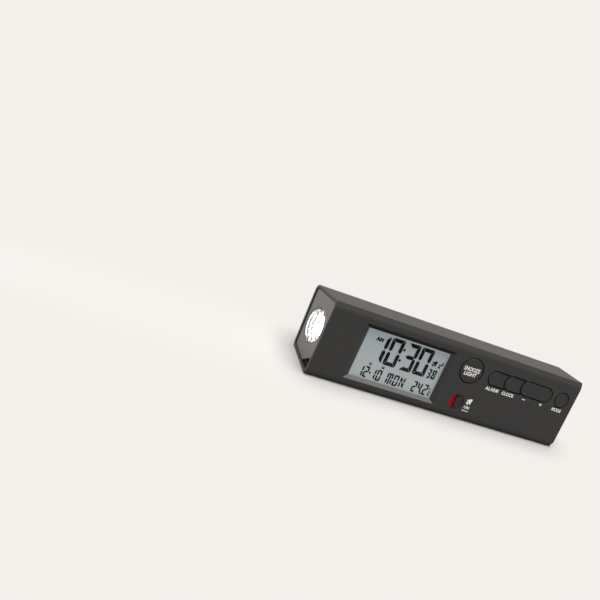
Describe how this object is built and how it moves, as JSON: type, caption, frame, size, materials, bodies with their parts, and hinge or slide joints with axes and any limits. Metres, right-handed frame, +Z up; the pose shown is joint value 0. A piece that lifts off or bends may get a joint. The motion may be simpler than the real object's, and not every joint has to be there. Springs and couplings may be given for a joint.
{
  "type": "travel alarm clock with torch",
  "caption": "Bar-shaped digital travel alarm clock with display, push keys, alarm on/off slide and a torch in one end, standing on its base.",
  "frame": {"origin": "centre of the base of the clock's bounding box, on the surface it stands on", "axes": "+X along the length from the lamp end to the tail, +Y from the front to the back, +Z up; the face leans back 15 degrees"},
  "size_m": [0.146, 0.0314, 0.035],
  "materials": {
    "casing": "fine moulded texture, dark grey",
    "tray": "as moulded, dark grey",
    "key": "fine moulded texture, dark grey",
    "flag_red": "red",
    "window": "clear moulded plastic",
    "lcd": "light grey liquid-crystal panel with dark segments",
    "led_epoxy": "clear epoxy, lit white",
    "reflector": "vacuum-metallised plastic",
    "bezel_silver": "satin silver-grey",
    "board": "green solder mask",
    "light_guide": "milky white",
    "carbon_rubber": "carbon-striped elastomer",
    "component_black": "black epoxy",
    "component_can": "tinned steel can",
    "contact_steel": "nickel-plated spring steel",
    "cell_sleeve": null,
    "screw_steel": "zinc-plated, darkened"
  },
  "bodies": {
    "casing": {"front_shell": "casing", "rear_cover": "casing", "battery_tray": "tray", "alarm_flag": "flag_red", "display_window": "window", "lamp_lens": "window", "lcd_panel": "lcd", "lamp_led_1": "led_epoxy", "lamp_led_2": "led_epoxy", "lamp_led_3": "led_epoxy", "lamp_reflector": "reflector", "lamp_bezel": "bezel_silver", "main_board": "board", "lamp_board": "board", "backlight_panel": "light_guide", "zebra_lower": "carbon_rubber", "zebra_upper": "carbon_rubber", "controller_chip": "component_black", "piezo_buzzer": "component_black", "thermistor": "component_black", "torch_switch": "component_black", "crystal": "component_can", "capacitor": "component_can", "tact_snooze": "component_can", "tact_alarm": "component_can", "tact_clock": "component_can", "tact_minus": "component_can", "tact_plus": "component_can", "tact_mode": "component_can", "alarm_switch": "component_can", "contact_plate_link": "contact_steel", "contact_plate_plus": "contact_steel", "contact_plate_minus": "contact_steel", "contact_spring_1": "contact_steel", "contact_spring_2": "contact_steel", "battery_cell_1": "cell_sleeve", "battery_cell_2": "cell_sleeve", "cover_screw_1": "screw_steel", "cover_screw_2": "screw_steel", "cover_screw_3": "screw_steel", "cover_screw_4": "screw_steel", "tray_screw_1": "screw_steel", "tray_screw_2": "screw_steel"},
    "battery_door": {"battery_door": "casing"},
    "snooze_button": {"snooze_button": "key"},
    "alarm_button": {"alarm_button": "key"},
    "clock_button": {"clock_button": "key"},
    "rocker": {"minus_plus_rocker": "key"},
    "mode_button": {"mode_button": "key"},
    "torch_button": {"torch_button": "key"},
    "alarm_slider": {"alarm_slider": "key"}
  },
  "joints": [
    {"name": "snooze_press", "type": "slide", "parent": "casing", "child": "snooze_button", "axis": [0, 0.9659, -0.2588], "range_m": [0, 0.0008], "stiffness_N_per_m": 900},
    {"name": "alarm_press", "type": "slide", "parent": "casing", "child": "alarm_button", "axis": [0, 0.9659, -0.2588], "range_m": [0, 0.0008], "stiffness_N_per_m": 900},
    {"name": "clock_press", "type": "slide", "parent": "casing", "child": "clock_button", "axis": [0, 0.9659, -0.2588], "range_m": [0, 0.0008], "stiffness_N_per_m": 900},
    {"name": "mode_press", "type": "slide", "parent": "casing", "child": "mode_button", "axis": [0, 0.9659, -0.2588], "range_m": [0, 0.0008], "stiffness_N_per_m": 900},
    {"name": "torch_press", "type": "slide", "parent": "casing", "child": "torch_button", "axis": [-1, 0, 0], "range_m": [0, 0.0011], "stiffness_N_per_m": 1200},
    {"name": "rocker_tilt", "type": "hinge", "parent": "casing", "child": "rocker", "pos_m": [0.0483, -0.00603, 0.02328], "axis": [0, 0.2588, 0.9659], "range_deg": [-4, 4], "stiffness_Nm_per_rad": 0.12},
    {"name": "alarm_slide", "type": "slide", "parent": "casing", "child": "alarm_slider", "axis": [-1, 0, 0], "range_m": [0, 0.003]},
    {"name": "battery_door_slide", "type": "slide", "parent": "casing", "child": "battery_door", "axis": [1, 0, 0], "range_m": [0, 0.066]}
  ]
}
